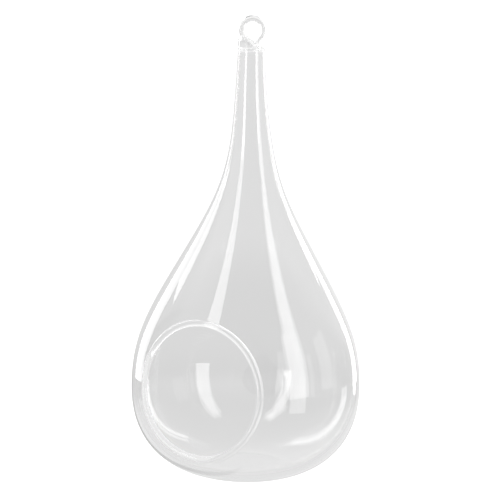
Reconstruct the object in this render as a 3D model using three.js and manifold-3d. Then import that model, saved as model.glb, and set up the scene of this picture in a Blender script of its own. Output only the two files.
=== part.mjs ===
// Drop-shaped vase of clear blown glass. It hangs by the glass eye at the tip of its neck, and a flat
// foot lets it stand as well. Flowers, moss or a small candle go in through the round opening in its side.
// Millimetres, +Z up. The origin is the centre of the foot, and the opening faces -Y.

import * as THREE from "three";
import { mergeVertices } from "three/addons/utils/BufferGeometryUtils.js";
import Module from "manifold-3d";

const wasm = await Module();
wasm.setup();

// Outside of the blown body, as a profile of radius and height
const bulbDiameter = 100;
const equatorHeight = 38.7; // where the bulb is widest
const footDiameter = 32; // the flat that the vase stands on
const heelReach = 4.6; // pull of the foot's flat on the curve that leaves it
const bellyDrop = 34.3; // pull of the upright wall on the curve below the equator
const bellyRise = 22.5; // and on the curve above it
const waistDiameter = 53.6; // where the swelling side turns into the hollow sweep of the neck
const waistHeight = 101.1;
const waistSlope = 0.56; // radius lost for each millimetre of height there
const waistPullDown = 33.4;
const waistPullUp = 44.8;
const neckDiameter = 9.8; // at the end of the neck
const neckTaper = 1.8; // radius that the neck still loses over its last stretch
const neckPull = 23.6; // length of that stretch
const neckTop = 186.3; // open end of the neck, which the seal closes

// Glass thickness
const floorThickness = 2.6;
const bulbWall = 1.6;
const neckWall = 1.9;

// Side opening: the cut edge is melted back into a round bead, thicker than the wall
const openingDiameter = 53.8; // clear inside the bead
const openingHeight = 46.4; // where the opening's axis leaves the wall
const openingPitch = 18.5; // degrees that it looks upward
const beadDiameter = 2.7;

// Solid gather of glass melted onto the end of the neck, which closes it. It leans, high on the side that
// the eye springs from.
const jointGap = 0.3; // between the pieces
const sealRise = 4; // from the end of the neck to the gather's top on the axis
const sealLean = 0.55; // height gained for each millimetre to the high side
const sealRound = 1.8; // rounding of its shoulder
const boreDome = 1.2; // depth of the round end of the bore in its underside

// Hanging eye: a glass rod that springs from the high side of the seal, goes once round and touches down
// on the low side
const eyeDiameter = 9.5; // of the rod's centre line
const eyeStandoff = 5; // from the seal's top to the centre of the eye
const eyeShift = 0.3; // of that centre from the axis of the neck
const eyeTurn = 25; // degrees that the eye is turned about the neck
const eyeStart = 195; // degrees anticlockwise from the low side, where the round part starts
const eyeEnd = -40; // and where it ends
const rodStartDiameter = 2.9;
const rodEndDiameter = 2.0;
const rootDepth = rodStartDiameter / 3; // that the rod's axis starts and ends under the seal's top
const eyePull = eyeStandoff / 2; // length of the bends that lead into and out of the round part
const footFlare = 0.4; // radius that the rod gains where it is melted on
const flareLength = 1.2;
const highFoot = 3; // of the rod's axis from the neck's axis, on the high side
const lowFoot = 2.1; // and on the low side

// Fineness of the curved surfaces
const turnSteps = 60;
const lowerSteps = 9;
const middleSteps = 7;
const upperSteps = 9;
const beadSteps = 72;
const beadSides = 10;
const rodSteps = 40;
const rodSides = 12;
const sealTurnSteps = 40;
const sealCurveSteps = 6; // along the shoulder, and along the dome of the bore
const edgeCurveSteps = 40; // of each curve, where the bead's line is worked out
const halvings = 40; // of the search for that line
const mergeDistance = 1e-4; // corners closer than this are one

// Clear glass, barely grey, with the faint unevenness of work in a flame
const blownColour = 0xe6eaea;
const blownRoughness = 0.03;
const rodColour = 0xe2e8e8;
const rodRoughness = 0.05;
const glassOpacity = 0.35;

const bulbRadius = bulbDiameter / 2;
const footRadius = footDiameter / 2;
const waistRadius = waistDiameter / 2;
const neckRadius = neckDiameter / 2;
const boreRadius = neckRadius - neckWall;
const eyeRadius = eyeDiameter / 2;
const { degToRad, lerp, smoothstep } = THREE.MathUtils;

function point(radius, height) {
  return new THREE.Vector2(radius, height);
}

// A closed geometry as a solid that can be joined and cut
function solidOf(geometry) {
  const bare = geometry.clone();
  bare.deleteAttribute("normal");
  bare.deleteAttribute("uv");
  const merged = mergeVertices(bare, mergeDistance);
  return new wasm.Manifold(
    new wasm.Mesh({
      numProp: 3,
      vertProperties: new Float32Array(merged.attributes.position.array),
      triVerts: new Uint32Array(merged.index.array),
    }),
  );
}

function geometryOf(solid) {
  const mesh = solid.getMesh();
  const geometry = new THREE.BufferGeometry();
  geometry.setAttribute("position", new THREE.BufferAttribute(mesh.vertProperties, mesh.numProp));
  geometry.setIndex(new THREE.BufferAttribute(mesh.triVerts, 1));
  geometry.computeVertexNormals();
  return geometry;
}

// A profile turned about Z
function turned(profile, steps) {
  return new THREE.LatheGeometry(profile, steps).rotateX(Math.PI / 2);
}

// Thickness of the wall at a height of the outside
function wallAt(height) {
  if (height < equatorHeight) {
    return lerp(floorThickness, bulbWall, smoothstep(height, 0, equatorHeight));
  }
  return lerp(bulbWall, neckWall, smoothstep(height, equatorHeight, neckTop));
}

// Three curves that make up the outside, from the edge of the foot to the end of the neck
function outsideCurves() {
  const foot = point(footRadius, 0);
  const equator = point(bulbRadius, equatorHeight);
  const waist = point(waistRadius, waistHeight);
  const neckEnd = point(neckRadius, neckTop);
  const upwards = point(-waistSlope, 1).normalize();
  return [
    new THREE.CubicBezierCurve(
      foot,
      point(footRadius + heelReach, 0),
      point(bulbRadius, equatorHeight - bellyDrop),
      equator,
    ),
    new THREE.CubicBezierCurve(
      equator,
      point(bulbRadius, equatorHeight + bellyRise),
      waist.clone().addScaledVector(upwards, -waistPullDown),
      waist,
    ),
    new THREE.CubicBezierCurve(
      waist,
      waist.clone().addScaledVector(upwards, waistPullUp),
      point(neckRadius + neckTaper, neckTop - neckPull),
      neckEnd,
    ),
  ];
}

// Points across the wall, in pairs of outer and inner, from the edge of the foot to the end of the neck
function wallPairs(stepsOfEach) {
  const pairs = [];
  outsideCurves().forEach((curve, index) => {
    const steps = stepsOfEach[index];
    for (let step = index ? 1 : 0; step <= steps; step++) {
      const outer = curve.getPoint(step / steps);
      const along = curve.getTangent(step / steps);
      const inward = point(-along.y, along.x);
      pairs.push({ outer, inner: outer.clone().addScaledVector(inward, wallAt(outer.y)) });
    }
  });
  pairs.at(-1).inner = point(boreRadius, neckTop);
  return pairs;
}

// The blown envelope before its side is opened
function envelope() {
  const pairs = wallPairs([lowerSteps, middleSteps, upperSteps]);
  const outside = pairs.map(({ outer }) => outer);
  const inside = pairs.map(({ inner }) => inner).reverse();
  return turned([point(0, 0), ...outside, ...inside, point(0, floorThickness)], turnSteps);
}

// The line that the bead follows: in the middle of the wall, and everywhere as far from the opening's axis
class OpeningEdge extends THREE.Curve {
  constructor(radius) {
    super();
    this.radius = radius;
    const steps = [edgeCurveSteps, edgeCurveSteps, edgeCurveSteps];
    this.middles = wallPairs(steps).map(({ outer, inner }) => outer.clone().lerp(inner, 0.5));
    const pitch = degToRad(openingPitch);
    this.axis = new THREE.Vector3(0, -Math.cos(pitch), Math.sin(pitch));
    this.up = new THREE.Vector3(0, Math.sin(pitch), Math.cos(pitch));
    this.side = new THREE.Vector3(1, 0, 0);
    this.centre = new THREE.Vector3(0, -this.wallRadius(openingHeight), openingHeight);
  }

  wallRadius(height) {
    const next = this.middles.findIndex((middle) => middle.y > height);
    if (next < 1) return this.middles[0].x;
    const above = this.middles[next];
    const below = this.middles[next - 1];
    return THREE.MathUtils.mapLinear(height, below.y, above.y, below.x, above.x);
  }

  getPoint(share, target = new THREE.Vector3()) {
    const angle = share * 2 * Math.PI;
    const start = this.centre
      .clone()
      .addScaledVector(this.side, this.radius * Math.cos(angle))
      .addScaledVector(this.up, this.radius * Math.sin(angle));
    let [within, beyond] = [-bulbRadius, bulbRadius];
    for (let halving = 0; halving < halvings; halving++) {
      const reach = (within + beyond) / 2;
      target.copy(start).addScaledVector(this.axis, reach);
      const clear = Math.hypot(target.x, target.y) > this.wallRadius(target.z);
      if (clear && target.y < 0) beyond = reach;
      else within = reach;
    }
    return target;
  }
}

// The envelope with its side opened along the axis and the edge melted into a bead
function blownBody() {
  const edge = new OpeningEdge((openingDiameter + beadDiameter) / 2);
  const bead = new THREE.TubeGeometry(edge, beadSteps, beadDiameter / 2, beadSides, true);
  const lathe = new THREE.Quaternion().setFromUnitVectors(new THREE.Vector3(0, 1, 0), edge.axis);
  const cutter = new THREE.CylinderGeometry(edge.radius, edge.radius, bulbDiameter, beadSteps)
    .translate(0, bulbRadius / 2, 0)
    .applyQuaternion(lathe)
    .translate(...edge.centre.toArray());
  return geometryOf(solidOf(envelope()).subtract(solidOf(cutter)).add(solidOf(bead)));
}

// Outside of the seal, from the axis at its foot over the shoulder to the axis at its top, grown by a margin
function sealOutline(margin) {
  const radius = neckRadius + margin;
  const top = sealRise + margin;
  const shoulder = new THREE.EllipseCurve(
    radius - sealRound,
    top - sealRound,
    sealRound,
    sealRound,
    0,
    Math.PI / 2,
  );
  return [point(radius, jointGap), ...shoulder.getPoints(sealCurveSteps), point(0, top)];
}

// Raises one side of a geometry and lowers the other, more and more towards the top of the seal
function leaning(geometry) {
  const places = geometry.attributes.position;
  for (let index = 0; index < places.count; index++) {
    const share = (places.getZ(index) - jointGap) / (sealRise - jointGap);
    places.setZ(index, places.getZ(index) - sealLean * places.getX(index) * Math.max(share, 0));
  }
  return geometry;
}

// The seal stands on the end of the neck, and the bore ends in a dome in its underside
function neckSeal() {
  const dome = new THREE.EllipseCurve(0, jointGap, boreRadius, boreDome, Math.PI / 2, 0, true);
  return leaning(turned([...dome.getPoints(sealCurveSteps), ...sealOutline(0)], sealTurnSteps));
}

// The line that the rod follows, in the plane of the eye
function eyePath() {
  const centreHeight = sealRise + eyeStandoff;
  const start = degToRad(eyeStart);
  const end = degToRad(eyeEnd);
  const onEye = (angle) =>
    point(eyeShift + eyeRadius * Math.cos(angle), centreHeight + eyeRadius * Math.sin(angle));
  const backFrom = (angle, reach) =>
    onEye(angle).add(point(-Math.sin(angle), Math.cos(angle)).multiplyScalar(reach));
  const root = (across) => point(across, sealRise - sealLean * across - rootDepth);
  const path = new THREE.Path();
  path.moveTo(...root(-highFoot).toArray());
  path.quadraticCurveTo(...backFrom(start, eyePull).toArray(), ...onEye(start).toArray());
  path.absarc(eyeShift, centreHeight, eyeRadius, start, end, true);
  path.quadraticCurveTo(...backFrom(end, -eyePull).toArray(), ...root(lowFoot).toArray());
  return path;
}

// A straight rod turned to the eye's thickness, flared at both ends, and bent along the path
function hangingLoop() {
  const path = eyePath();
  const length = path.getLength();
  const profile = [point(0, 0)];
  for (let step = 0; step <= rodSteps; step++) {
    const share = step / rodSteps;
    const fromEnd = Math.min(share, 1 - share) * length;
    const radius = lerp(rodStartDiameter, rodEndDiameter, share) / 2;
    profile.push(point(radius + footFlare * Math.exp(-fromEnd / flareLength), share * length));
  }
  profile.push(point(0, length));
  const rod = new THREE.LatheGeometry(profile, rodSides);
  const places = rod.attributes.position;
  for (let index = 0; index < places.count; index++) {
    const share = Math.min(places.getY(index) / length, 1);
    const centre = path.getPoint(share);
    const along = path.getTangent(share);
    const across = places.getX(index);
    places.setXYZ(
      index,
      centre.x - across * along.y,
      places.getZ(index),
      centre.y + across * along.x,
    );
  }
  const below = point(neckRadius + jointGap, -neckRadius);
  const seat = leaning(turned([point(0, below.y), below, ...sealOutline(jointGap)], sealTurnSteps));
  return geometryOf(solidOf(rod).subtract(solidOf(seat)));
}

function glass(colour, roughness) {
  return new THREE.MeshStandardMaterial({
    color: colour,
    roughness,
    metalness: 0,
    transparent: true,
    opacity: glassOpacity,
  });
}

function piece(name, geometry, material) {
  const mesh = new THREE.Mesh(geometry, material);
  mesh.name = name;
  return mesh;
}

const vase = new THREE.Group();
vase.add(piece("blown_body", blownBody(), glass(blownColour, blownRoughness)));

// What is melted onto the end of the neck
const hanger = new THREE.Group();
hanger.position.z = neckTop;
hanger.rotation.z = degToRad(eyeTurn);
hanger.add(piece("neck_seal", neckSeal(), glass(rodColour, rodRoughness)));
hanger.add(piece("hanging_loop", hangingLoop(), glass(rodColour, rodRoughness)));
vase.add(hanger);

export default vase;
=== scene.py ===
"""Looks of the hanging glass vase: clear blown glass among softboxes and cards, on a white floor.

The glass pieces are rebuilt here as smooth thick-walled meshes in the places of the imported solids.
"""
import math

import bpy
import numpy as np
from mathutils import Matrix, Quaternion, Vector


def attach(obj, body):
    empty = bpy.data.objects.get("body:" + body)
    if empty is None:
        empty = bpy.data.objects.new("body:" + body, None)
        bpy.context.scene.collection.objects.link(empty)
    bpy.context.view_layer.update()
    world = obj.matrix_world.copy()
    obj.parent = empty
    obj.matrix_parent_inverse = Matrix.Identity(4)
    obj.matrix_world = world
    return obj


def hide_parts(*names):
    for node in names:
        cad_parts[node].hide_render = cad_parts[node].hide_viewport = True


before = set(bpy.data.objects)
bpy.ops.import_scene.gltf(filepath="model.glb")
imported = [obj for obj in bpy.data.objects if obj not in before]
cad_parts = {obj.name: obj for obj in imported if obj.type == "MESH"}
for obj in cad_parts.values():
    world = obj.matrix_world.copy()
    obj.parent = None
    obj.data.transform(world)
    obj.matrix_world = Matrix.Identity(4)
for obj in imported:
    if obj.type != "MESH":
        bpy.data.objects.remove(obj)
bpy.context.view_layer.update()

MM = 0.001

# Outside of the blown body, in millimetres
BULB_RADIUS = 50.0
EQUATOR_HEIGHT = 38.7
FOOT_RADIUS = 16.0
HEEL_REACH = 4.6  # outwards from the foot to the handle of the curve above it
BELLY_DROP = 34.3  # from the equator to the handle of the curve below it
BELLY_RISE = 22.5  # and of the curve above it
WAIST_RADIUS = 26.8
WAIST_HEIGHT = 101.1
WAIST_SLOPE = 0.56  # radius lost with each millimetre of height
WAIST_PULL_DOWN = 33.4  # from the waist to the handle of the curve below it
WAIST_PULL_UP = 30.0  # and of the curve above it
NECK_RADIUS = 5.75
NECK_TAPER = 2.1  # outwards from the top of the neck to the handle of the curve below it
NECK_PULL = 50.0  # and downwards to it
NECK_TOP = 186.3

# Glass thickness
FLOOR_THICKNESS = 2.6
BULB_WALL = 1.6
NECK_WALL = 0.5

# Slight wander of the hand-drawn neck, as sideways shifts that fade in between two heights
WANDER_AZIMUTH = 117.5  # the way that it shifts, as seen from above
WANDER = ((60.0, 120.0, 0.4), (125.0, 187.0, -0.95))

# Round opening in the side, with its lip
OPENING_RADIUS = 26.9
OPENING_HEIGHT = 46.4
OPENING_PITCH = 18.5
LIP_RADIUS = 1.35
LIP_FILLET = 0.12  # softens the corner between the lip and the wall
LIP_FILLET_FADE = 0.4  # the stretch of wall over which the fillet sets in

# Leaning gather of glass on the end of the neck
SEAL_RISE = 4.0
SEAL_LEAN = 0.55
SEAL_ROUND = 1.8
BORE_DOME = 1.2

# Eye
EYE_RADIUS = 4.75
EYE_STANDOFF = 5.0
EYE_SHIFT = 0.3
EYE_TURN = 25.0
EYE_START = 195.0
EYE_END = -40.0
ROD_START_RADIUS = 1.45
ROD_END_RADIUS = 1.0
ROOT_DEPTH = 0.67 * ROD_START_RADIUS  # of the rod's ends inside the gather
ROOT_FLARE = 0.9
ROOT_FADE = 0.7
HIGH_FOOT = 3.0
LOW_FOOT = 2.1

# Points on the stretches of the outside and of the eye, and on quarter turns
FOOT_POINTS = 60
BULB_POINTS = 300  # below and above the equator
NECK_POINTS = 400
EYE_LEG_POINTS = 60
EYE_TURN_POINTS = 200
SEAL_CORNER_POINTS = 10
DOME_POINTS = 9
LIP_POINTS = 9

# Fineness of the meshes
AROUND = 224
ROW_STEP = 1.5  # along the wall
WINDOW_HALF_ANGLE = 53.0  # of the patch of wall that holds the opening
WINDOW_LOW = 6.0
WINDOW_HIGH = 90.0
BEYOND_LIP = np.geomspace(0.2, 4.0, 8)  # from the lip to the rows around it
LAYERS_TO_FRAME = 14  # from those rows to the frame of the window
SEAL_SIDE_ROWS = (0.7, 1.4)  # heights above the neck
SEAL_TOP_ROWS = (0.75, 0.5, 0.25)  # shares of the flat top's radius
ROD_ROWS = 150
ROD_SIDES = 36

# Exactness of what is found step by step
JUST_PAST_FOOT = 1.001 * FOOT_RADIUS
SEARCH_START = -0.4 * BULB_RADIUS  # along the opening's axis, from its centre
SEARCH_END = BULB_RADIUS
HALVINGS = 50
SPREAD_STEP = 0.12
TINY = 1e-9

# Clear glass
GLASS_COLOUR = 0.99
GLASS_IOR = 1.47
LIGHT_LET_THROUGH = 0.94  # by each face, of the light of the lamps
SMEAR_SCALE = 30.0
SMEAR_DETAIL = 3.0
SMEAR_START = 0.35  # noise at which the roughness sets in
SMEAR_FULL = 0.75  # noise at which it is full
SMEAR_ROUGHNESS = 0.012
WAVE_SCALE = 45.0
WAVE_DETAIL = 1.0
WAVE_STRETCH = (1, 1, 0.3)
WAVE_HEIGHT = 0.0002
BODY_WAVINESS = 0.25
ROD_WAVINESS = 0.15

# The photograph's view
CAMERA_AZIMUTH = 27.5
CAMERA_ELEVATION = 10.0
CAMERA_DISTANCE = 1.2
CAMERA_ROLL = 1.23
NEAREST_SEEN = 0.01
SENSOR_WIDTH = 36.0
AIM_HEIGHT = 98.9 * MM
PHOTO_SIZE = 500
FOCAL_PIXELS = 2760.0
AIM_PIXEL = (248.4, 250.6)

# Floor, in metres
FLOOR_HALF = 6.0
FLOOR_GAP = 0.0002  # between it and the foot
FLOOR_GREY = 0.5
FLOOR_GLOW = 0.85  # for the camera alone

# Lamps: name, azimuth from the camera's, distance, width, bottom, top, tilt, brightness, mirror image
LAMPS = (
    ("left_softbox", -43.5, 0.30, 0.083, -0.005, 0.50, 0, 2.9, "front"),
    ("left_inner_softbox", -47.5, 0.30, 0.058, -0.01, 0.22, 0, 3.8, "deep"),
    ("left_inner_high_card", -48.5, 0.30, 0.092, 0.22, 0.62, 0, 3.8, "deep"),
    ("right_softbox", 52.5, 0.27, 0.075, 0.013, 0.45, 0, 2.9, "outside"),
    ("right_low_card", 41.5, 0.27, 0.029, 0.013, 0.22, 0, 2.9, "outside"),
    ("right_faint_card", 34.8, 0.27, 0.035, 0.050, 0.17, 0, 1.3, "outside"),
    ("right_inner_softbox", 50.4, 0.27, 0.078, -0.034, 0.45, 0, 3.1, "inside"),
    ("right_side_card", 65, 0.27, 0.022, 0.01, 0.13, 0, 0.6, "front"),
    ("right_pale_card", 84, 0.27, 0.075, 0.02, 0.16, 0, 0.6, "front"),
    ("left_card", -130.5, 0.27, 0.095, -0.002, 0.50, 3, 2.5, "outside"),
    ("left_high_card", -113.5, 0.27, 0.057, 0.170, 0.50, 0, 4.0, "outside"),
    ("right_card", 133.7, 0.27, 0.059, -0.004, 0.50, 0, 2.5, "outside"),
    ("right_high_card", 124.5, 0.27, 0.029, 0.155, 0.45, 0, 4.0, "outside"),
    ("left_inner_card", -149, 0.27, 0.070, -0.02, 0.28, 14, 2.0, "deep"),
    ("right_inner_card", 140.5, 0.27, 0.030, -0.02, 0.28, -8, 3.0, "inside"),
)

# Fewest and most glass surfaces that a ray crosses in each kind of mirror image
ANY_NUMBER = 99
MIRROR_IMAGES = {
    "outside": (0, 0),  # on the first face that the ray meets
    "front": (0, 2),  # on both faces of the first glass
    "inside": (2, ANY_NUMBER),  # on any face but the first
    "deep": (4, ANY_NUMBER),  # on glass behind other glass
}
HALF = 0.5  # puts a limit between two whole numbers

# Bounces and inner reflections after which light counts as caught in the glass, and what it is worth
MOST_BOUNCES = 12
MOST_REFLECTIONS = 4
CAUGHT_LIGHT = 0.85

# Brightness of the rest of the studio, where 1 is white
LIGHT_OF_WORLD = 0.4
THROUGH_BY_HEIGHT = (  # by sine of elevation
    (-0.36, 0.76),
    (-0.30, 0.71),
    (-0.25, 0.67),
    (-0.235, 0.695),
    (-0.229, 0.685),
    (-0.22, 0.672),
    (-0.205, 0.696),
    (-0.193, 0.70),
    (-0.181, 0.757),
    (-0.14, 0.76),
    (-0.12, 0.78),
    (0.0, 0.80),
    (0.14, 0.97),
)
MIRRORED_BY_AZIMUTH = (  # by degrees from the camera's azimuth
    (-180, 0.85),
    (-160, 0.6),
    (-140, 0.5),
    (-125, 0.1),
    (-105, 0.2),
    (-90, 0.85),
    (-60, 0.8),
    (-45, 0.06),
    (45, 0.06),
    (60, 0.8),
    (90, 0.9),
    (120, 0.6),
    (145, 0.85),
    (180, 0.95),
)
FLOOR_BY_AZIMUTH = (
    (-180, 0.75),
    (-172, 0.75),
    (-168, 0.15),
    (-161, 0.15),
    (-156, 0.75),
    (180, 0.75),
)
ROOM_ENDS = -0.15  # sine of the elevation at which the mirrored room gives way to the floor
FLOOR_STARTS = -0.35  # sine at which all is floor


def cubic(p0, p1, p2, p3, count):
    """Points along a cubic Bezier curve, both ends among them."""
    t = np.linspace(0, 1, count)[:, None]
    p0, p1, p2, p3 = (np.array(p, float) for p in (p0, p1, p2, p3))
    return (1 - t) ** 3 * p0 + 3 * (1 - t) ** 2 * t * p1 + 3 * (1 - t) * t**2 * p2 + t**3 * p3


def quadratic(p0, p1, p2, count):
    """Points along a quadratic Bezier curve, both ends among them."""
    t = np.linspace(0, 1, count)[:, None]
    return (1 - t) ** 2 * p0 + 2 * (1 - t) * t * p1 + t**2 * p2


def quarter_turn(count):
    """Angles of the points on a quarter turn, both ends among them."""
    return np.linspace(0, math.pi / 2, count)


def eased(share):
    """A share kept between 0 and 1, with a gentle start and end."""
    share = np.clip(share, 0, 1)
    return share**2 * (3 - 2 * share)


def distances_along(line):
    """Distance of each point of a line from the line's start."""
    steps = np.linalg.norm(np.diff(line, axis=0), axis=1)
    return np.concatenate([[0], np.cumsum(steps)])


def directions_along(line, distance):
    """The way that a line runs at each of its points."""
    along = np.gradient(line, distance, axis=0)
    return along / np.linalg.norm(along, axis=1)[:, None]


def nearest(values, wanted):
    """Which of the values is nearest to the wanted one."""
    return int(np.argmin(np.abs(values - wanted)))


def outside_profile():
    """Radius and height of the outside, from the axis under the foot to the end of the neck."""
    upwards = np.array((-WAIST_SLOPE, 1.0)) / math.hypot(WAIST_SLOPE, 1)
    waist = np.array((WAIST_RADIUS, WAIST_HEIGHT))
    equator = (BULB_RADIUS, EQUATOR_HEIGHT)
    foot = np.stack([np.linspace(0, FOOT_RADIUS, FOOT_POINTS), np.zeros(FOOT_POINTS)], 1)
    lower = cubic(
        (FOOT_RADIUS, 0),
        (FOOT_RADIUS + HEEL_REACH, 0),
        (BULB_RADIUS, EQUATOR_HEIGHT - BELLY_DROP),
        equator,
        BULB_POINTS,
    )
    middle = cubic(
        equator,
        (BULB_RADIUS, EQUATOR_HEIGHT + BELLY_RISE),
        waist - WAIST_PULL_DOWN * upwards,
        waist,
        BULB_POINTS,
    )
    upper = cubic(
        waist,
        waist + WAIST_PULL_UP * upwards,
        (NECK_RADIUS + NECK_TAPER, NECK_TOP - NECK_PULL),
        (NECK_RADIUS, NECK_TOP),
        NECK_POINTS,
    )
    return np.vstack([foot, lower[1:], middle[1:], upper[1:]])


def wall_thickness(height):
    """Thickness of the glass where its outside has a height: most in the floor, least in the neck."""
    low = FLOOR_THICKNESS + (BULB_WALL - FLOOR_THICKNESS) * eased(height / EQUATOR_HEIGHT)
    rise = (height - EQUATOR_HEIGHT) / (NECK_TOP - EQUATOR_HEIGHT)
    high = BULB_WALL + (NECK_WALL - BULB_WALL) * eased(rise)
    return np.where(height < EQUATOR_HEIGHT, low, high)


class Wall:
    """The blown wall, by distance along its profile and angle from the opening's side."""

    def __init__(self):
        profile = outside_profile()
        self.distance = distances_along(profile)
        self.length = self.distance[-1]
        self.radius = profile[:, 0]
        self.height = profile[:, 1]
        along = directions_along(profile, self.distance)
        # The way out of the glass, as its parts away from the axis and upwards
        self.out_r = along[:, 1]
        self.out_z = -along[:, 0]
        self.thickness = wall_thickness(self.height)
        self.middle_radius = self.radius - self.out_r * self.thickness / 2
        self.middle_height = self.height - self.out_z * self.thickness / 2

    def at(self, values, distance):
        """One of the lists of values above, at a distance along the profile."""
        return np.interp(distance, self.distance, values)

    def point(self, angle, distance, depth):
        """Places in 3D at a depth under the outside, with angle 0 on the opening's side."""
        radius = self.at(self.radius, distance) - depth * self.at(self.out_r, distance)
        height = self.at(self.height, distance) - depth * self.at(self.out_z, distance)
        places = np.broadcast_arrays(radius * np.sin(angle), -radius * np.cos(angle), height)
        return np.stack(places, -1)

    def middle(self, angle, distance):
        """Places in 3D halfway through the wall."""
        return self.point(angle, distance, self.at(self.thickness, distance) / 2)

    def distance_at_height(self, height):
        """Distance along the profile, past the foot, where the middle of the wall has a height."""
        start = np.argmax(self.radius > JUST_PAST_FOOT)
        return np.interp(height, self.middle_height[start:], self.distance[start:])

    def middle_radius_at(self, height):
        """Radius of the middle of the wall at a height."""
        return self.at(self.middle_radius, self.distance_at_height(height))


WALL = Wall()

# Rows of vertices along the wall, and columns round it
ROWS = np.linspace(0, WALL.length, int(round(WALL.length / ROW_STEP)) + 1)[1:]
ANGLES = np.linspace(-math.pi, math.pi, AROUND, endpoint=False)


def opening_axes():
    """Centre of the opening in the middle of the wall, and its directions outwards, up and sideways."""
    pitch = math.radians(OPENING_PITCH)
    axis = np.array((0, -math.cos(pitch), math.sin(pitch)))
    up = np.array((0, math.sin(pitch), math.cos(pitch)))
    side = np.array((1.0, 0, 0))
    centre = np.array((0, -WALL.middle_radius_at(OPENING_HEIGHT), OPENING_HEIGHT))
    return centre, axis, up, side


def opening_edge(turns):
    """Angle and distance of the edge of the opening, at each turn about the opening's axis."""
    centre, axis, up, side = opening_axes()
    spokes = np.cos(turns)[:, None] * side + np.sin(turns)[:, None] * up
    start = centre + OPENING_RADIUS * spokes
    within = np.full(len(turns), SEARCH_START)
    beyond = np.full(len(turns), SEARCH_END)
    for _ in range(HALVINGS):
        reach = (within + beyond) / 2
        place = start + reach[:, None] * axis
        outside = np.hypot(place[:, 0], place[:, 1]) > WALL.middle_radius_at(place[:, 2])
        beyond = np.where(outside, reach, beyond)
        within = np.where(outside, within, reach)
    return np.arctan2(place[:, 0], -place[:, 1]), WALL.distance_at_height(place[:, 2])


def moved_outwards(angle, distance, move):
    """A closed line on the wall, moved over the wall by a small step square to itself."""
    place = WALL.middle(angle, distance)
    along = np.roll(place, -1, 0) - np.roll(place, 1, 0)
    along /= np.linalg.norm(along, axis=1)[:, None]
    around = np.stack([np.cos(angle), np.sin(angle), 0 * angle], -1)
    tangent_r = -WALL.at(WALL.out_z, distance)
    tangent_z = WALL.at(WALL.out_r, distance)
    upward = np.stack([tangent_r * np.sin(angle), -tangent_r * np.cos(angle), tangent_z], -1)
    along_around = (along * around).sum(1)
    along_up = (along * upward).sum(1)
    radius = WALL.at(WALL.middle_radius, distance)
    return angle + move * along_up / radius, distance - move * along_around


def spread(angle, distance, reaches):
    """Moves a closed line outwards over the wall and keeps it at each reach in turn."""
    kept = []
    gone = 0.0
    for reach in reaches:
        while gone < reach - TINY:
            move = min(SPREAD_STEP, reach - gone)
            angle, distance = moved_outwards(angle, distance, move)
            gone += move
        kept.append((angle, distance))
    return kept


def half_thickness(reach, wall):
    """Half the thickness of the glass at a reach from the very edge of the opening."""
    round_part = np.sqrt(np.maximum(LIP_RADIUS**2 - (LIP_RADIUS - reach) ** 2, 0))
    fillet = LIP_FILLET * (1 - np.exp(-(((reach - LIP_RADIUS) / LIP_FILLET_FADE) ** 2)))
    middle = (round_part + wall / 2) / 2
    joined = middle + np.sqrt(((round_part - wall / 2) / 2) ** 2 + fillet**2)
    return np.where(reach < LIP_RADIUS, round_part, joined)


def lean(points):
    """Leans what stands on the end of the neck, towards the side that the eye springs from."""
    turn = math.radians(EYE_TURN)
    across = points[..., 0] * math.cos(turn) + points[..., 1] * math.sin(turn)
    share = np.clip((points[..., 2] - NECK_TOP) / SEAL_RISE, 0, None)
    points[..., 2] -= SEAL_LEAN * across * share
    return points


def wandered(places):
    """Shifts the neck a little sideways, as the hand that drew it did."""
    turn = math.radians(WANDER_AZIMUTH)
    way = np.array((math.sin(turn), -math.cos(turn)))
    for low, high, shift in WANDER:
        share = np.clip((places[:, 2] - low) / (high - low), 0, 1)
        smooth = share**3 * (10 - 15 * share + 6 * share**2)
        places[:, :2] += shift * smooth[:, None] * way
    return places


class Sheet:
    """Collects vertices and faces."""

    def __init__(self):
        self.places = []
        self.faces = []
        self.count = 0

    def add(self, points):
        """Adds vertices and says their numbers."""
        points = np.asarray(points).reshape(-1, 3)
        first = self.count
        self.places.append(points)
        self.count += len(points)
        return np.arange(first, self.count)

    def band(self, lower, upper, flip, closed=True):
        """Faces between two rows of vertices."""
        count = len(lower) if closed else len(lower) - 1
        for k in range(count):
            n = (k + 1) % len(lower)
            face = (lower[k], lower[n], upper[n], upper[k])
            self.faces.append(face[::-1] if flip else face)

    def cap(self, last, rows, pole, flip):
        """Bands from a row of vertices over further rows of points, and faces that close the end."""
        for points in rows:
            row = self.add(points)
            self.band(last, row, flip)
            last = row
        middle = self.add(pole)[0]
        for k in range(len(last)):
            face = (last[k], last[(k + 1) % len(last)], middle)
            self.faces.append(face[::-1] if flip else face)

    def object(self, name):
        """The mesh as an object, without the vertices that no face uses."""
        mesh = bpy.data.meshes.new(name)
        places = wandered(np.vstack(self.places)) * MM
        used = sorted({int(v) for face in self.faces for v in face})
        number = {old: new for new, old in enumerate(used)}
        faces = [tuple(number[int(v)] for v in face) for face in self.faces]
        mesh.from_pydata(places[used].tolist(), [], faces)
        mesh.validate()
        mesh.shade_smooth()
        obj = bpy.data.objects.new(name, mesh)
        bpy.context.scene.collection.objects.link(obj)
        return obj


def turned_row(radius, height):
    """A row of points once round the axis."""
    return np.column_stack([radius * np.sin(ANGLES), -radius * np.cos(ANGLES), np.full(AROUND, height)])


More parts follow.
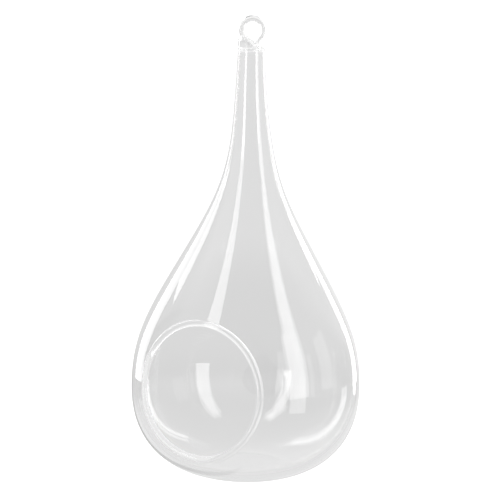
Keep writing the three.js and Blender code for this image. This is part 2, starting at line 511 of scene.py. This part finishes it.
def seal_rows():
    """Rows of the leaning gather above the neck, without its middle point."""
    centre_r = NECK_RADIUS - SEAL_ROUND
    centre_z = NECK_TOP + SEAL_RISE - SEAL_ROUND
    rows = [(NECK_RADIUS, NECK_TOP + rise) for rise in SEAL_SIDE_ROWS]
    for bend in quarter_turn(SEAL_CORNER_POINTS):
        rows.append((centre_r + SEAL_ROUND * math.cos(bend), centre_z + SEAL_ROUND * math.sin(bend)))
    rows += [(centre_r * share, NECK_TOP + SEAL_RISE) for share in SEAL_TOP_ROWS]
    return [lean(turned_row(radius, height)) for radius, height in rows]


def dome_rows():
    """Rows of the round end of the bore, without its middle point."""
    radius = NECK_RADIUS - NECK_WALL
    bends = quarter_turn(DOME_POINTS)[1:-1]
    return [turned_row(radius * math.cos(b), NECK_TOP + BORE_DOME * math.sin(b)) for b in bends]


class Window:
    """The patch of the wall that is left out of its rows, for the opening and its lip."""

    def __init__(self):
        heights = WALL.at(WALL.height, ROWS)
        self.low = nearest(heights, WINDOW_LOW)
        self.high = nearest(heights, WINDOW_HIGH)
        self.left = nearest(ANGLES, -math.radians(WINDOW_HALF_ANGLE))
        self.right = AROUND - self.left

    def columns_beside(self):
        """Vertices of a row from the window's right side round the back to its left side."""
        return np.concatenate([np.arange(self.right, AROUND), np.arange(0, self.left + 1)])

    def frame(self):
        """Row and column of each vertex on the edge of the window, once round."""
        low, high, left, right = self.low, self.high, self.left, self.right
        cells = [(low, j) for j in range(left, right)]
        cells += [(i, right) for i in range(low, high)]
        cells += [(high, j) for j in range(right, left, -1)]
        cells += [(i, left) for i in range(high, low, -1)]
        return cells


def wall_around_window(sheet, rows, flip, window):
    """Faces between the rows of one side of the wall, apart from those in the window."""
    beside = window.columns_beside()
    for i in range(len(rows) - 1):
        if window.low <= i < window.high:
            sheet.band(rows[i][beside], rows[i + 1][beside], flip, False)
        else:
            sheet.band(rows[i], rows[i + 1], flip)


def lip_layers(edge_angle, edge_distance):
    """Angle, distance and half thickness of the rows of the lip and of the wall near it."""
    bend = quarter_turn(LIP_POINTS)
    first_quarter = LIP_RADIUS * (1 - np.cos(bend))
    second_quarter = LIP_RADIUS * (1 + np.sin(bend[1:]))
    reaches = np.concatenate([first_quarter, second_quarter, 2 * LIP_RADIUS + BEYOND_LIP])
    layers = []
    for reach, (angle, distance) in zip(reaches, spread(edge_angle, edge_distance, reaches)):
        half = half_thickness(reach, WALL.at(WALL.thickness, distance))
        layers.append((angle, distance, half))
    return layers


def layers_to_frame(last_angle, last_distance, frame_angle, frame_distance):
    """Angle, distance and half thickness of the rows between the last one and the window's frame."""
    layers = []
    for step in range(1, LAYERS_TO_FRAME):
        share = step / LAYERS_TO_FRAME
        angle = last_angle + (frame_angle - last_angle) * share
        distance = last_distance + (frame_distance - last_distance) * share
        layers.append((angle, distance, WALL.at(WALL.thickness, distance) / 2))
    return layers


def add_opening(sheet, outer, inner, window):
    """The opening with its lip, joined to the vertices on the window's frame."""
    cells = window.frame()
    frame_angle = np.array([ANGLES[j] for _, j in cells])
    frame_distance = np.array([ROWS[i] for i, _ in cells])
    centre, _, up, side = opening_axes()
    away = WALL.middle(frame_angle, frame_distance) - centre
    edge_angle, edge_distance = opening_edge(np.arctan2(away @ up, away @ side))
    layers = lip_layers(edge_angle, edge_distance)
    last_angle, last_distance, _ = layers[-1]
    layers += layers_to_frame(last_angle, last_distance, frame_angle, frame_distance)

    # Both sides of the wall meet in the very edge
    last_outer = last_inner = sheet.add(WALL.middle(edge_angle, edge_distance))
    for angle, distance, half in layers[1:]:
        wall = WALL.at(WALL.thickness, distance)
        next_outer = sheet.add(WALL.point(angle, distance, wall / 2 - half))
        next_inner = sheet.add(WALL.point(angle, distance, wall / 2 + half))
        sheet.band(last_outer, next_outer, True)
        sheet.band(last_inner, next_inner, False)
        last_outer, last_inner = next_outer, next_inner
    sheet.band(last_outer, [outer[i][j] for i, j in cells], True)
    sheet.band(last_inner, [inner[i][j] for i, j in cells], False)


def blown_glass():
    """The body and the gather on its neck, as the one piece of glass that they are melted into."""
    sheet = Sheet()
    window = Window()
    outer, inner = [], []
    for row in ROWS:
        outer.append(sheet.add(WALL.point(ANGLES, row, 0)))
        inner.append(sheet.add(WALL.point(ANGLES, row, WALL.at(WALL.thickness, row))))
    wall_around_window(sheet, outer, False, window)
    wall_around_window(sheet, inner, True, window)
    sheet.cap(outer[0], [], (0, 0, 0), True)
    sheet.cap(inner[0], [], (0, 0, FLOOR_THICKNESS), False)
    sheet.cap(outer[-1], seal_rows(), (0, 0, NECK_TOP + SEAL_RISE), False)
    sheet.cap(inner[-1], dome_rows(), (0, 0, NECK_TOP + BORE_DOME), True)
    add_opening(sheet, outer, inner, window)
    return sheet.object("blown_glass")


def eye_path():
    """Places across and up along the rod's axis, in the plane of the eye."""
    centre = np.array((EYE_SHIFT, NECK_TOP + SEAL_RISE + EYE_STANDOFF))
    start, end = math.radians(EYE_START), math.radians(EYE_END)

    def on_eye(a):
        return centre + EYE_RADIUS * np.array((math.cos(a), math.sin(a)))

    def back_from(a, reach):
        return on_eye(a) + reach * np.array((-math.sin(a), math.cos(a)))

    def root(across):
        return np.array((across, NECK_TOP + SEAL_RISE - SEAL_LEAN * across - ROOT_DEPTH))

    pull = EYE_STANDOFF / 2
    rise = quadratic(root(-HIGH_FOOT), back_from(start, pull), on_eye(start), EYE_LEG_POINTS)
    turn = np.array([on_eye(a) for a in np.linspace(start, end, EYE_TURN_POINTS)])
    fall = quadratic(on_eye(end), back_from(end, -pull), root(LOW_FOOT), EYE_LEG_POINTS)
    return np.vstack([rise, turn[1:], fall[1:]])


def beside_eye_plane(across, depth, up):
    """Places in 3D from places across and up in the plane of the eye, and a depth behind it."""
    turn = math.radians(EYE_TURN)
    x = across * math.cos(turn) - depth * math.sin(turn)
    y = across * math.sin(turn) + depth * math.cos(turn)
    return np.stack([x, y, up], -1)


def rod_radius(along, length):
    """Radius along the rod: thinner towards its end, and flared where it is melted onto the gather."""
    above_root = np.maximum(np.minimum(along, length - along) - ROOT_DEPTH, 0)
    share = along / length
    radius = ROD_START_RADIUS + (ROD_END_RADIUS - ROD_START_RADIUS) * share
    return radius + ROOT_FLARE * np.exp(-above_root / ROOT_FADE)


def hanging_eye():
    """The bent rod, with both ends inside the gather."""
    line = eye_path()
    distance = distances_along(line)
    along = np.linspace(0, distance[-1], ROD_ROWS)
    centre = np.column_stack([np.interp(along, distance, line[:, k]) for k in (0, 1)])
    direction = directions_along(centre, along)
    radius = rod_radius(along, distance[-1])
    around = np.linspace(0, 2 * math.pi, ROD_SIDES, endpoint=False)
    sheet = Sheet()
    rings = []
    for c, d, r in zip(centre, direction, radius):
        across = c[0] - r * np.cos(around) * d[1]
        up = c[1] + r * np.cos(around) * d[0]
        rings.append(sheet.add(beside_eye_plane(across, r * np.sin(around), up)))
    for lower, upper in zip(rings, rings[1:]):
        sheet.band(lower, upper, False)
    sheet.cap(rings[0], [], beside_eye_plane(centre[0][0], 0, centre[0][1]), True)
    sheet.cap(rings[-1], [], beside_eye_plane(centre[-1][0], 0, centre[-1][1]), False)
    return sheet.object("hanging_eye")


def grey(level):
    """A grey as a colour, where a level of 1 is white."""
    return (level, level, level, 1)


class Shader:
    """The nodes of a material, a lamp or the world."""

    def __init__(self, owner):
        owner.use_nodes = True
        self.nodes = owner.node_tree.nodes
        self.links = owner.node_tree.links

    def give(self, socket, given):
        """Links a socket to another node's output, or sets its value."""
        if isinstance(given, bpy.types.NodeSocket):
            self.links.new(given, socket)
        else:
            socket.default_value = given

    def add(self, kind, inputs=None):
        """A new node, with what its inputs are given, by their names or numbers."""
        node = self.nodes.new("ShaderNode" + kind)
        for key, given in (inputs or {}).items():
            self.give(node.inputs[key], given)
        return node

    def compute(self, operation, *numbers):
        """The result of an operation on outputs of other nodes and plain numbers."""
        node = self.nodes.new("ShaderNodeMath")
        node.operation = operation
        for socket, given in zip(node.inputs, numbers):
            self.give(socket, given)
        return node.outputs["Value"]

    def pick(self, share, first, second):
        """The first level where the share is 0, and the second where it is 1."""
        return self.add("Mix", {"Factor": share, "A": first, "B": second}).outputs["Result"]

    def brightness(self, value, stops):
        """The brightness at a value, from pairs of value and brightness in rising order."""
        lowest, highest = stops[0][0], stops[-1][0]
        span = highest - lowest
        share = self.compute("MULTIPLY_ADD", value, 1 / span, -lowest / span)
        node = self.add("ValToRGB", {"Fac": share})
        elements = node.color_ramp.elements
        elements[0].color = grey(stops[0][1])
        elements[-1].color = grey(stops[-1][1])
        for place, level in stops[1:-1]:
            elements.new((place - lowest) / span).color = grey(level)
        return node.outputs["Color"]


def caught_light(shader, path):
    """Strength of a pale glow that stands for light caught in the glass, which leaks out."""
    deep = shader.compute("GREATER_THAN", path["Ray Depth"], MOST_BOUNCES + HALF)
    mirrored = shader.compute("GREATER_THAN", path["Glossy Depth"], MOST_REFLECTIONS + HALF)
    caught = shader.compute("MAXIMUM", deep, mirrored)
    return shader.compute("MULTIPLY", caught, CAUGHT_LIGHT)


def smeared_roughness(shader, place):
    """Polished glass with faint smears."""
    smears = shader.add("TexNoise", {"Vector": place, "Scale": SMEAR_SCALE, "Detail": SMEAR_DETAIL})
    rough = shader.add(
        "MapRange",
        {
            "Value": smears.outputs["Fac"],
            "From Min": SMEAR_START,
            "From Max": SMEAR_FULL,
            "To Min": 0.0,
            "To Max": SMEAR_ROUGHNESS,
        },
    )
    return rough.outputs["Result"]


def waved_normal(shader, place, waviness):
    """Faint waves, longer along the vase than round it."""
    stretch = shader.add("Mapping", {"Vector": place, "Scale": WAVE_STRETCH})
    waves = shader.add(
        "TexNoise",
        {"Vector": stretch.outputs["Vector"], "Scale": WAVE_SCALE, "Detail": WAVE_DETAIL},
    )
    bump = shader.add(
        "Bump",
        {"Strength": waviness, "Distance": WAVE_HEIGHT, "Height": waves.outputs["Fac"]},
    )
    return bump.outputs["Normal"]


def clear_glass(name, waviness):
    """Clear glass with the faint unevenness of hand-worked glass. Lamps shine through it."""
    mat = bpy.data.materials.new(name)
    shader = Shader(mat)
    shader.nodes.clear()
    path = shader.add("LightPath").outputs
    place = shader.add("TexCoord").outputs["Object"]
    glass = shader.add(
        "BsdfPrincipled",
        {
            "Base Color": grey(GLASS_COLOUR),
            "Roughness": smeared_roughness(shader, place),
            "IOR": GLASS_IOR,
            "Normal": waved_normal(shader, place, waviness),
            "Transmission Weight": 1.0,
            "Emission Color": grey(1),
            "Emission Strength": caught_light(shader, path),
        },
    )
    lamp_light = shader.add("BsdfTransparent", {"Color": grey(LIGHT_LET_THROUGH)})
    mix = shader.add(
        "MixShader",
        {"Fac": path["Is Shadow Ray"], 1: glass.outputs["BSDF"], 2: lamp_light.outputs["BSDF"]},
    )
    shader.add("OutputMaterial", {"Surface": mix.outputs["Shader"]})
    return mat


def show_mirrored(lamp, image):
    """Shows a lamp only as a mirror image, so that no white patch is seen straight through the glass."""
    shader = Shader(lamp)
    path = shader.add("LightPath").outputs
    crossed = path["Transmission Depth"]
    fewest, most = MIRROR_IMAGES[image]
    enough = shader.compute("GREATER_THAN", crossed, fewest - HALF)
    not_too_many = shader.compute("LESS_THAN", crossed, most + HALF)
    wanted = shader.compute("MULTIPLY", enough, not_too_many)
    mirrored = shader.compute("GREATER_THAN", path["Glossy Depth"], HALF)
    # What hasn't crossed any glass needs no mirror: this light falls on the floor
    unglazed = shader.compute("LESS_THAN", crossed, HALF)
    allowed = shader.compute("MAXIMUM", mirrored, unglazed)
    strength = shader.compute("MULTIPLY", wanted, allowed)
    shader.give(shader.nodes["Emission"].inputs["Strength"], strength)


def place_at(azimuth, distance, height):
    """The place at a height and a distance from the axis."""
    a = math.radians(azimuth)
    return Vector((distance * math.sin(a), -distance * math.cos(a), height))


def lamp_panel(name, azimuth, distance, width, bottom, top, tilt, brightness, image):
    """A flat bright panel that faces the object, in metres and degrees, tilted to one side."""
    height = top - bottom
    lamp = bpy.data.lights.new(name, "AREA")
    lamp.shape = "RECTANGLE"
    lamp.size = width
    lamp.size_y = height
    lamp.energy = brightness * math.pi * width * height
    obj = bpy.data.objects.new(name, lamp)
    obj.location = place_at(azimuth, distance, (bottom + top) / 2)
    towards = Vector((0, 0, obj.location.z)) - obj.location
    upright = towards.to_track_quat("-Z", "Y")
    obj.rotation_mode = "QUATERNION"
    obj.rotation_quaternion = upright @ Quaternion((0, 0, 1), math.radians(tilt))
    obj.visible_camera = False
    show_mirrored(lamp, image)
    bpy.context.scene.collection.objects.link(obj)


def in_radians(stops):
    """Pairs of degrees and brightness, with radians in place of degrees."""
    return [(math.radians(angle), level) for angle, level in stops]


def seen_through(shader, direction):
    """What refracted rays meet: a pale grey backdrop, whiter high up, and faint bands on the floor."""
    height = shader.add("SeparateXYZ", {"Vector": direction}).outputs["Z"]
    return shader.brightness(height, THROUGH_BY_HEIGHT)


def seen_mirrored(shader, direction):
    """What mirrored rays meet: a room, dark in front and in a gap on the left, and the floor."""
    turn = shader.add("VectorRotate", {"Vector": direction, "Angle": -math.radians(CAMERA_AZIMUTH)})
    turn.rotation_type = "Z_AXIS"
    split = shader.add("SeparateXYZ", {"Vector": turn.outputs["Vector"]}).outputs
    towards = shader.compute("MULTIPLY", split["Y"], -1.0)
    azimuth = shader.compute("ARCTAN2", split["X"], towards)
    room = shader.brightness(azimuth, in_radians(MIRRORED_BY_AZIMUTH))
    floor = shader.brightness(azimuth, in_radians(FLOOR_BY_AZIMUTH))
    low = shader.add("MapRange", {"Value": split["Z"], "From Min": ROOM_ENDS, "From Max": FLOOR_STARTS})
    return shader.pick(low.outputs["Result"], room, floor)


def studio():
    """The surroundings as a world shader: white to the camera, and a plain studio to the glass."""
    world = bpy.data.worlds.new("studio")
    bpy.context.scene.world = world
    shader = Shader(world)
    shader.nodes.clear()
    path = shader.add("LightPath").outputs
    direction = shader.add("TexCoord").outputs["Generated"]
    level = shader.pick(path["Is Reflection Ray"], LIGHT_OF_WORLD, seen_mirrored(shader, direction))
    level = shader.pick(path["Is Transmission Ray"], level, seen_through(shader, direction))
    level = shader.pick(path["Is Camera Ray"], level, 1.0)
    background = shader.add("Background", {"Color": grey(1), "Strength": level})
    shader.add("OutputWorld", {"Surface": background.outputs["Background"]})


def floor_white():
    """Lit by the lamps, so that it keeps a shadow, and glowing up to white for the camera."""
    mat = bpy.data.materials.new("floor_white")
    shader = Shader(mat)
    shader.nodes.clear()
    path = shader.add("LightPath").outputs
    strength = shader.compute("MULTIPLY", path["Is Camera Ray"], FLOOR_GLOW)
    lit = shader.add("BsdfDiffuse", {"Color": grey(FLOOR_GREY)})
    glow = shader.add("Emission", {"Color": grey(1), "Strength": strength})
    both = shader.add("AddShader", {0: lit.outputs["BSDF"], 1: glow.outputs["Emission"]})
    shader.add("OutputMaterial", {"Surface": both.outputs["Shader"]})
    return mat


def white_floor():
    """A pale floor that looks white to the camera and keeps the object's shadow."""
    mesh = bpy.data.meshes.new("floor")
    corners = [(x * FLOOR_HALF, y * FLOOR_HALF, 0) for x, y in ((-1, -1), (1, -1), (1, 1), (-1, 1))]
    mesh.from_pydata(corners, [], [(0, 1, 2, 3)])
    mesh.materials.append(floor_white())
    floor = bpy.data.objects.new("floor", mesh)
    bpy.context.scene.collection.objects.link(floor)
    floor.location.z = -FLOOR_GAP
    floor.visible_glossy = False
    floor.visible_transmission = False
    return floor


def camera():
    """The camera in the place from which the photograph was taken."""
    data = bpy.data.cameras.new("camera")
    data.sensor_width = SENSOR_WIDTH
    data.lens = FOCAL_PIXELS / PHOTO_SIZE * SENSOR_WIDTH
    data.shift_x = (PHOTO_SIZE / 2 - AIM_PIXEL[0]) / PHOTO_SIZE
    data.shift_y = (AIM_PIXEL[1] - PHOTO_SIZE / 2) / PHOTO_SIZE
    data.clip_start = NEAREST_SEEN
    obj = bpy.data.objects.new("camera", data)
    bpy.context.scene.collection.objects.link(obj)
    a, e = math.radians(CAMERA_AZIMUTH), math.radians(CAMERA_ELEVATION)
    back = Vector((math.sin(a) * math.cos(e), -math.cos(a) * math.cos(e), math.sin(e)))
    obj.location = Vector((0, 0, AIM_HEIGHT)) + back * CAMERA_DISTANCE
    look = (-back).to_track_quat("-Z", "Y")
    # Turning the camera to the left leans the object to the right
    roll = Quaternion((0, 0, 1), math.radians(CAMERA_ROLL))
    obj.rotation_mode = "QUATERNION"
    obj.rotation_quaternion = look @ roll
    bpy.context.scene.camera = obj


def dress(piece, material, slot, *nodes):
    """Gives a piece its material, hangs it on the root body and hides the solids that it stands for."""
    piece.data.materials.append(material)
    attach(piece, "root")
    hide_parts(*nodes)


body = blown_glass()
eye = hanging_eye()
dress(body, clear_glass("blown_glass", BODY_WAVINESS), "blown_glass", "blown_body", "neck_seal")
dress(eye, clear_glass("rod_glass", ROD_WAVINESS), "rod_glass", "hanging_loop")

camera()
studio()
white_floor()
for name, azimuth, *rest in LAMPS:
    lamp_panel(name, CAMERA_AZIMUTH + azimuth, *rest)

bpy.context.scene.view_settings.view_transform = "Standard"
